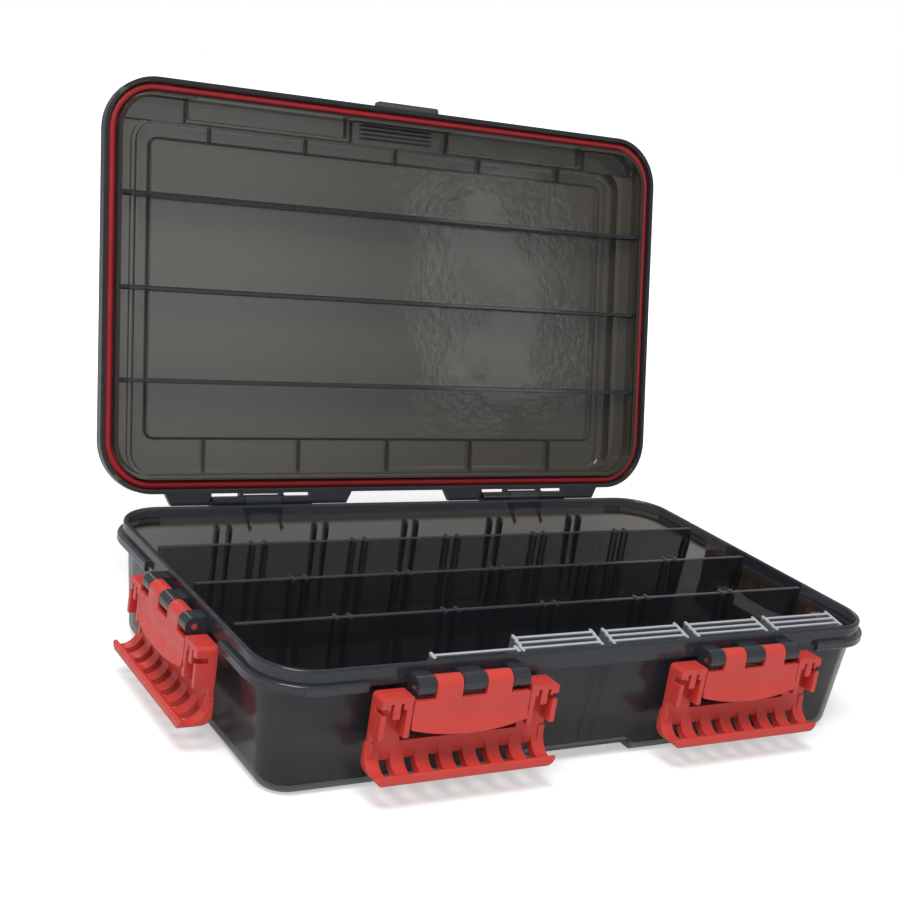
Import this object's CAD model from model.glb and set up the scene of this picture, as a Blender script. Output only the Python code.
"""Looks of an open waterproof tackle box: smoky see-through plastics, coral red latches, a red
rubber gasket and metal pins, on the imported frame. Lengths are in metres."""
import math

import bpy
from mathutils import Matrix, Vector

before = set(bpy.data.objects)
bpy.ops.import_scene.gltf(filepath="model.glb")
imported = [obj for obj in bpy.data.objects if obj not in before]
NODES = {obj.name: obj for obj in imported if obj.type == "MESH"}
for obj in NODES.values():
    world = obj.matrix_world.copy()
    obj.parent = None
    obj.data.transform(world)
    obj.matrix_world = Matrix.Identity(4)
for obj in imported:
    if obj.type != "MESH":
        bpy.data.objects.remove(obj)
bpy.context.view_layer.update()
scene = bpy.context.scene
scene.view_settings.view_transform = "Standard"

# ---- Sizes of the part that the looks follow ----

# The lid's hinge line and how far the lid stands open
HINGE = Vector((0, 0.108, 0.059))
LID_OPEN = math.radians(103.6)
# Half lengths over the tray's upright rim, and the shelf inside the rim
RIM_X, RIM_Y = 0.1655, 0.1002
SHELF_Z = 0.054
# The tray's walls: corner radius, distance inside the rim, and draft from shelf to floor
WALL_R, WALL_INSET, WALL_DRAFT = 0.0185, 0.0032, 0.0048
# The closed lid's crown, and a level just under the top of its flange
CROWN_Z = 0.0776
FLANGE_Z = 0.0650
# How far inside the rim's outline the dark part of the flange begins
FLANGE_IN = 0.0050
# The sunken field of the crown: half lengths, corner radius, and half width of its dark outline
FIELD_X, FIELD_Y, FIELD_R = 0.1405, 0.0765, 0.005
FIELD_LINE = 0.0006
# The see-through tab at the middle of the lid's front: half length, and where it begins
TAB_X, TAB_Y = 0.0195, -0.1043
# The grip ridges on the middle front block: half length, half depth, middle, lowest level, pitch
# and phase
GRIP_X, GRIP_HALF, GRIP_Y, GRIP_Z = 0.0218, 0.0045, -0.09155, 0.0715
GRIP_PITCH, GRIP_PHASE = 0.0023, 0.0881
# Distance between the rows, and half width of the lid's dark ribs over the long dividers
ROW_PITCH = 0.0466
RIB_HALF = 0.0012
# Levels above which the dividers' top edges are light
LONG_TOP, CROSS_TOP = 0.0582, 0.0550

# ---- Share of the light that one face stops ----

TRAY_WALL, TRAY_TOP, TRAY_RIB, TRAY_GUSSET, TRAY_OUTSIDE = 0.65, 0.87, 0.90, 0.92, 0.97
LID_LEFT, LID_RIGHT, LID_UPRIGHT, LID_SOLID = 0.765, 0.86, 0.92, 0.95
LONG_FACE, CROSS_FACE, DIVIDER_EDGE = 0.52, 0.40, 0.86

# ---- Camera, floor and light ----

CAMERA_PLACE = Vector((-0.40851, -0.59374, 0.30307))
# Turn to the right of +Y, downward tilt, and roll, in degrees
CAMERA_YAW, CAMERA_PITCH, CAMERA_ROLL = 33.348, 15.690, 9.329
# Lens and sensor in millimetres, and shift as a share of the sensor
CAMERA_LENS, CAMERA_SENSOR = 61.195, 36
CAMERA_SHIFT = (-0.0359, 0.0371)
FLOOR_SIZE, FLOOR_DROP = 12, 0.0002
# The floor brightens to white for the camera from the near distance to the far one
NEAR, FAR, NEAR_GLOW = 0.30, 1.0, 0.45
WORLD_LIGHT = 0.36
TRAY_MIDDLE = (0, 0, 0.05)


def make_camera():
    """Camera at the photograph's viewing angle."""
    yaw, pitch, roll = (math.radians(a) for a in (CAMERA_YAW, CAMERA_PITCH, CAMERA_ROLL))
    ahead = Vector((math.sin(yaw) * math.cos(pitch), math.cos(yaw) * math.cos(pitch), -math.sin(pitch)))
    right = Vector((math.cos(yaw), -math.sin(yaw), 0))
    up = right.cross(ahead)
    side = math.cos(roll) * right + math.sin(roll) * up
    top = -math.sin(roll) * right + math.cos(roll) * up
    data = bpy.data.cameras.new("camera")
    data.sensor_width = CAMERA_SENSOR
    data.lens = CAMERA_LENS
    data.shift_x, data.shift_y = CAMERA_SHIFT
    data.clip_start, data.clip_end = 0.05, 50
    cam = bpy.data.objects.new("camera", data)
    turn = Matrix((side, top, -ahead)).transposed().to_4x4()
    cam.matrix_world = Matrix.Translation(CAMERA_PLACE) @ turn
    scene.collection.objects.link(cam)
    scene.camera = cam


# ---- Node helpers ----

class Nodes:
    """The node tree of a material or world, built by short calls that mostly return sockets."""

    def __init__(self, owner):
        owner.use_nodes = True
        self.owner = owner
        self.tree = owner.node_tree
        self.tree.nodes.clear()

    def put(self, node, key, value):
        """Link a socket to an input of the node, or set the input to a value."""
        if isinstance(value, bpy.types.NodeSocket):
            self.tree.links.new(value, node.inputs[key])
        else:
            node.inputs[key].default_value = value

    def new(self, kind, settings=None, **inputs):
        node = self.tree.nodes.new(kind)
        for key, value in (settings or {}).items():
            setattr(node, key, value)
        for key, value in inputs.items():
            self.put(node, key.replace("_", " "), value)
        return node

    def math(self, operation, *values):
        node = self.tree.nodes.new("ShaderNodeMath")
        node.operation = operation
        for i, value in enumerate(values):
            self.put(node, i, value)
        return node.outputs[0]

    def product(self, first, *others):
        for value in others:
            first = self.math("MULTIPLY", first, value)
        return first

    def largest(self, first, *others):
        for value in others:
            first = self.math("MAXIMUM", first, value)
        return first

    def step(self, value, start, end, low=0.0, high=1.0):
        """Smooth change from low to high as value goes from start to end."""
        node = self.new("ShaderNodeMapRange", {"interpolation_type": "SMOOTHSTEP"}, Value=value,
                        From_Min=start, From_Max=end, To_Min=low, To_Max=high)
        return node.outputs[0]

    def above(self, value, level, soft):
        """0 up to the level and 1 from a soft width past it."""
        return self.step(value, level, level + soft)

    def below(self, value, level, soft):
        """1 up to the level and 0 from a soft width past it."""
        return self.step(value, level, level + soft, 1, 0)

    def band(self, value, centre, half, soft=0.0003):
        """1 where value lies within half of centre, 0 elsewhere."""
        return self.below(self.math("ABSOLUTE", self.math("SUBTRACT", value, centre)), half, soft)

    def noise(self, vector, scale, detail=2, rough=0.5):
        return self.new("ShaderNodeTexNoise", None, Vector=vector, Scale=scale, Detail=detail,
                        Roughness=rough).outputs["Fac"]

    def blend(self, factor, a, b):
        node = self.tree.nodes.new("ShaderNodeMix")
        node.data_type = "RGBA"
        # A mix node keeps its colour inputs and output at these places
        for key, value in ((0, factor), (6, a), (7, b)):
            self.put(node, key, value)
        return node.outputs[2]

    def position(self):
        return self.new("ShaderNodeTexCoord").outputs["Object"]

    def split(self, vector):
        return self.new("ShaderNodeSeparateXYZ", None, Vector=vector).outputs[:3]

    def sizes(self, *values):
        """Each value without its sign."""
        return [self.math("ABSOLUTE", value) for value in values]

    def bump(self, height, strength, distance, **normal):
        return self.new("ShaderNodeBump", None, Strength=strength, Distance=distance, Height=height,
                        **normal).outputs[0]

    def edge_normal(self, radius):
        return self.new("ShaderNodeBevel", {"samples": 4}, Radius=radius).outputs[0]

    def surface(self, shader, output="ShaderNodeOutputMaterial"):
        self.new(output, None, Surface=shader.outputs[0])
        return self.owner

    def finish(self, **inputs):
        return self.surface(self.new("ShaderNodeBsdfPrincipled", None, **inputs))


def material(name):
    return Nodes(bpy.data.materials.new(name))


def rgb(*c):
    return (*c, 1.0)


# ---- Materials ----

def smoke(n, place, opacity, colour, rough, ripple):
    """See-through smoked plastic. opacity is per face; ripple is a bump's strength and distance."""
    rough_map = n.step(n.noise(place, scale=90, detail=4), 0.3, 0.7, *rough)
    normal = n.bump(n.noise(place, scale=60), *ripple)
    return n.finish(Base_Color=colour, Roughness=rough_map, Normal=normal, Alpha=opacity, IOR=1.5)


def outline(n, ax, ay, core_x, core_y):
    """Distance from a rectangle about the middle: a rounded one less its corner radius."""
    qx, qy = n.math("SUBTRACT", ax, core_x), n.math("SUBTRACT", ay, core_y)
    px, py = n.math("MAXIMUM", qx, 0.0), n.math("MAXIMUM", qy, 0.0)
    far = n.math("SQRT", n.math("ADD", n.product(px, px), n.product(py, py)))
    return n.math("ADD", far, n.math("MINIMUM", n.largest(qx, qy), 0.0))


def past_rim(n, ax, ay, inset=0.0):
    """How far a point stands out of the rim's outline, taken square and moved in by the inset."""
    return n.largest(n.math("SUBTRACT", ax, RIM_X - inset), n.math("SUBTRACT", ay, RIM_Y - inset))


def wall_depth(n, ax, ay, z):
    """How far a point of the tray stands inside the drafted outer wall."""
    corner = n.math("MULTIPLY_ADD", z, WALL_DRAFT / SHELF_Z, WALL_R - WALL_DRAFT)
    core_x, core_y = RIM_X - WALL_INSET - WALL_R, RIM_Y - WALL_INSET - WALL_R
    return n.math("SUBTRACT", corner, outline(n, ax, ay, core_x, core_y))


def tray_material():
    n = material("tray_smoke")
    place = n.position()
    x, y, z = n.split(place)
    ax, ay = n.sizes(x, y)
    depth = wall_depth(n, ax, ay, z)
    outside = n.above(past_rim(n, ax, ay), 0.0, soft=0.0012)
    rib = n.product(n.above(depth, 0.0026, soft=0.0004), n.above(z, 0.0032, soft=0.0008))
    gusset = n.product(n.below(depth, -0.0014, soft=0.0006), n.below(z, SHELF_Z - 0.006, soft=0.002))
    thick = n.largest(n.product(outside, TRAY_OUTSIDE), n.product(rib, TRAY_RIB),
                      n.product(gusset, TRAY_GUSSET))
    high = n.above(z, SHELF_Z - 0.0045, soft=0.003)
    opacity = n.largest(n.math("MULTIPLY_ADD", high, TRAY_TOP - TRAY_WALL, TRAY_WALL), thick)
    # The faces inside the box look warmer than the outside, which is darker at its foot
    inside = n.product(n.above(depth, 0.0016, soft=0.0003), n.above(z, 0.0022, soft=0.0004))
    cloud = n.noise(place, scale=28, detail=3)
    cool = n.blend(cloud, rgb(0.026, 0.030, 0.037), rgb(0.034, 0.039, 0.047))
    cool = n.blend(n.above(z, 0.014, soft=0.020), rgb(0.010, 0.011, 0.014), cool)
    warm = n.blend(cloud, rgb(0.042, 0.032, 0.021), rgb(0.052, 0.041, 0.028))
    warm = n.blend(thick, warm, rgb(0.012, 0.012, 0.013))
    return smoke(n, place, opacity, n.blend(inside, cool, warm), rough=(0.14, 0.22), ripple=(0.02, 0.0006))


def lid_place(n):
    """Coordinates on the lid as if it were closed."""
    turn = Matrix.Rotation(LID_OPEN, 3, "X")
    node = n.new("ShaderNodeMapping", {"vector_type": "POINT"}, Vector=n.position(),
                 Location=HINGE - turn @ HINGE, Rotation=(LID_OPEN, 0, 0))
    return node.outputs[0]


def lid_flange(n, y, z, ax, ay):
    """The flange outside the seal, apart from the tab at the front."""
    tab = n.product(n.below(y, TAB_Y, soft=0.0004), n.below(ax, TAB_X, soft=0.0003))
    out = n.above(past_rim(n, ax, ay, FLANGE_IN), 0.0, soft=0.0012)
    return n.product(n.below(z, FLANGE_Z, soft=0.0006), out, n.math("SUBTRACT", 1.0, tab))


def lid_ribs(n, y, z, ay):
    """The three long ribs inside the crown, above the long dividers."""
    rib = n.largest(n.band(y, 0.0, RIB_HALF), n.band(ay, ROW_PITCH, RIB_HALF))
    return n.product(rib, n.below(z, CROWN_Z - 0.0026, soft=0.0004))


def grip_ridges(n, y, z, ax):
    """Four ridges on the middle front block."""
    wave = n.math("PINGPONG", n.math("ADD", y, GRIP_PHASE), GRIP_PITCH / 2)
    return n.product(n.below(wave, 0.0005, soft=0.0002), n.below(ax, GRIP_X, soft=0.0004),
                     n.band(y, GRIP_Y, GRIP_HALF), n.above(z, GRIP_Z, soft=0.0005))


def lid_upright(n):
    """1 on faces that stand upright when the lid is closed."""
    across = n.new("ShaderNodeVectorMath", {"operation": "DOT_PRODUCT"})
    n.put(across, 0, n.new("ShaderNodeTexCoord").outputs["Normal"])
    n.put(across, 1, Matrix.Rotation(-LID_OPEN, 3, "X") @ Vector((0, 0, 1)))
    return n.below(n.math("ABSOLUTE", across.outputs["Value"]), 0.25, soft=0.5)


def lid_material():
    n = material("lid_smoke")
    place = lid_place(n)
    x, y, z = n.split(place)
    ax, ay = n.sizes(x, y)
    past_field = n.math("SUBTRACT", outline(n, ax, ay, FIELD_X - FIELD_R, FIELD_Y - FIELD_R), FIELD_R)
    on_crown = n.above(z, CROWN_Z - 0.0045, soft=0.001)
    # Thick and upright walls let less through, and the sunken field has a dark outline
    line = n.product(n.band(past_field, -FIELD_LINE / 2, FIELD_LINE), on_crown)
    solid = n.largest(lid_flange(n, y, z, ax, ay), lid_ribs(n, y, z, ay), line, grip_ridges(n, y, z, ax))
    upright = lid_upright(n)
    clear = n.step(x, -0.12, 0.12, LID_LEFT, LID_RIGHT)
    opacity = n.largest(n.product(solid, LID_SOLID), n.product(upright, LID_UPRIGHT), clear)
    cloud = n.noise(place, scale=9)
    colour = n.blend(cloud, rgb(0.036, 0.030, 0.018), rgb(0.044, 0.037, 0.023))
    colour = n.blend(solid, colour, rgb(0.020, 0.022, 0.026))
    # The moulding is smooth at the left and pebbled in patches at the right
    in_field = n.product(n.below(past_field, -0.0030, soft=0.0018), on_crown)
    patches = n.above(n.noise(place, scale=17, detail=3), 0.34, soft=0.18)
    pebbled = n.product(in_field, patches, n.above(x, -0.03, soft=0.07))
    peel = n.noise(place, scale=230, detail=3, rough=0.6)
    swirl = n.noise(place, scale=46, detail=4, rough=0.62)
    relief = n.math("ADD", peel, n.product(swirl, 1.6))
    normal = n.bump(relief, strength=n.math("MULTIPLY_ADD", pebbled, 0.20, 0.012), distance=0.0012,
                    Normal=n.edge_normal(0.0004))
    rough = n.largest(n.step(swirl, 0.35, 0.65, 0.05, 0.10), n.product(upright, 0.30))
    return n.finish(Base_Color=colour, Roughness=rough, Normal=normal, Alpha=opacity, IOR=1.5)


def long_divider_material():
    n = material("long_divider_smoke")
    place = n.position()
    y, z = n.split(place)[1:3]
    off = n.math("ABSOLUTE", n.math("WRAP", y, ROW_PITCH / 2, -ROW_PITCH / 2))
    top = n.above(z, LONG_TOP, soft=0.0004)
    edge = n.largest(n.above(off, 0.0011, soft=0.0002), top)
    colour = n.blend(n.noise(place, scale=28, detail=3), rgb(0.014, 0.015, 0.018), rgb(0.021, 0.023, 0.027))
    colour = n.blend(top, colour, rgb(0.075, 0.080, 0.088))
    opacity = n.largest(n.product(edge, DIVIDER_EDGE), LONG_FACE)
    return smoke(n, place, opacity, colour, rough=(0.12, 0.20), ripple=(0.03, 0.0005))


def cross_divider_material():
    n = material("cross_divider_clear")
    place = n.position()
    top = n.above(n.split(place)[2], CROSS_TOP, soft=0.0005)
    colour = n.blend(n.noise(place, scale=28, detail=3), rgb(0.24, 0.27, 0.31), rgb(0.31, 0.34, 0.38))
    colour = n.blend(top, colour, rgb(0.56, 0.59, 0.63))
    opacity = n.largest(n.product(top, DIVIDER_EDGE), CROSS_FACE)
    return smoke(n, place, opacity, colour, rough=(0.06, 0.12), ripple=(0.03, 0.0005))


def latch_material():
    n = material("latch_red")
    place = n.position()
    colour = n.blend(n.noise(place, scale=60, detail=3), rgb(0.60, 0.046, 0.036), rgb(0.68, 0.060, 0.047))
    normal = n.bump(n.noise(place, scale=900), strength=0.10, distance=0.0003, Normal=n.edge_normal(0.0005))
    rough = n.step(n.noise(place, scale=140, detail=3), 0.3, 0.7, 0.34, 0.48)
    return n.finish(Base_Color=colour, Roughness=rough, Normal=normal, IOR=1.48)


def gasket_material():
    n = material("gasket_rubber")
    place = n.position()
    colour = n.blend(n.noise(place, scale=70, detail=3), rgb(0.30, 0.010, 0.014), rgb(0.40, 0.018, 0.024))
    normal = n.bump(n.noise(place, scale=700), strength=0.15, distance=0.0003)
    rough = n.step(n.noise(place, scale=200), 0.3, 0.7, 0.36, 0.52)
    return n.finish(Base_Color=colour, Roughness=rough, Normal=normal, IOR=1.5)


def metal_material(name, dark, light, rough):
    """Metal with fine lines along X."""
    n = material(name)
    stretched = n.new("ShaderNodeMapping", None, Vector=n.position(), Scale=(0.08, 1, 1))
    lines = n.noise(stretched.outputs[0], scale=1800, detail=3)
    return n.finish(Base_Color=n.blend(lines, dark, light), Metallic=1.0,
                    Roughness=n.step(lines, 0.2, 0.8, *rough),
                    Normal=n.bump(lines, strength=0.12, distance=0.0002))


def dress():
    """Give each piece its material by the start of its name, where "latch_pin" precedes "latch_"."""
    brass = metal_material("hinge_brass", rgb(0.52, 0.38, 0.20), rgb(0.66, 0.50, 0.28), (0.28, 0.42))
    steel = metal_material("latch_steel", rgb(0.50, 0.50, 0.52), rgb(0.66, 0.66, 0.68), (0.22, 0.36))
    starts = {
        "base_tray": tray_material(),
        "lid_shell": lid_material(),
        "lid_gasket": gasket_material(),
        "hinge_pin": brass,
        "latch_pin": steel,
        "latch_": latch_material(),
        "long_": long_divider_material(),
        "cross_": cross_divider_material(),
    }
    for name, obj in NODES.items():
        obj.data.materials.clear()
        obj.data.materials.append(next(mat for start, mat in starts.items() if name.startswith(start)))


# ---- Floor, backdrop and lamps ----

def make_floor():
    """A pale floor that keeps the shadow and fades to white away from the object."""
    n = material("floor_white")
    spots = n.noise(n.position(), scale=3)
    colour = n.blend(spots, rgb(0.80, 0.80, 0.80), rgb(0.84, 0.84, 0.84))
    far = n.new("ShaderNodeVectorMath", {"operation": "LENGTH"}, Vector=n.position()).outputs["Value"]
    seen = n.new("ShaderNodeLightPath").outputs["Is Camera Ray"]
    glow = n.product(seen, n.step(far, NEAR, FAR, NEAR_GLOW, 1.0))
    both = n.new("ShaderNodeAddShader")
    n.put(both, 0, n.new("ShaderNodeBsdfDiffuse", None, Color=colour).outputs[0])
    n.put(both, 1, n.new("ShaderNodeEmission", None, Color=rgb(1, 1, 1), Strength=glow).outputs[0])
    bpy.ops.mesh.primitive_plane_add(size=FLOOR_SIZE, location=(0, 0, -FLOOR_DROP))
    floor = bpy.context.object
    floor.name = "floor"
    floor.data.materials.append(n.surface(both))


def make_world():
    """Soft even light, which is white for camera and transmission rays."""
    scene.world = bpy.data.worlds.new("studio")
    n = Nodes(scene.world)
    ray = n.new("ShaderNodeLightPath").outputs
    seen = n.largest(ray["Is Camera Ray"], ray["Is Transmission Ray"])
    level = n.new("ShaderNodeMapRange", None, Value=seen, To_Min=WORLD_LIGHT, To_Max=1.0).outputs[0]
    back = n.new("ShaderNodeBackground", None, Color=rgb(1, 1, 1), Strength=level)
    n.surface(back, "ShaderNodeOutputWorld")


def lamp(name, place, target, size, watts):
    data = bpy.data.lights.new(name, "AREA")
    data.shape = "RECTANGLE"
    data.size, data.size_y = size
    data.energy = watts
    obj = bpy.data.objects.new(name, data)
    obj.location = place
    obj.rotation_euler = (Vector(target) - Vector(place)).to_track_quat("-Z", "Y").to_euler()
    scene.collection.objects.link(obj)


make_camera()
make_floor()
make_world()
lamp("key", place=(-0.60, -0.60, 1.45), target=TRAY_MIDDLE, size=(0.9, 0.6), watts=20)
# Brings out the pebbling on the right half of the lid
lamp("glint", place=(1.014, -1.308, 0.621), target=(0.06, 0.15, 0.17), size=(0.20, 0.40), watts=0.35)
lamp("back", place=(0.3, 1.4, 1.0), target=TRAY_MIDDLE, size=(1.2, 0.6), watts=6)
dress()
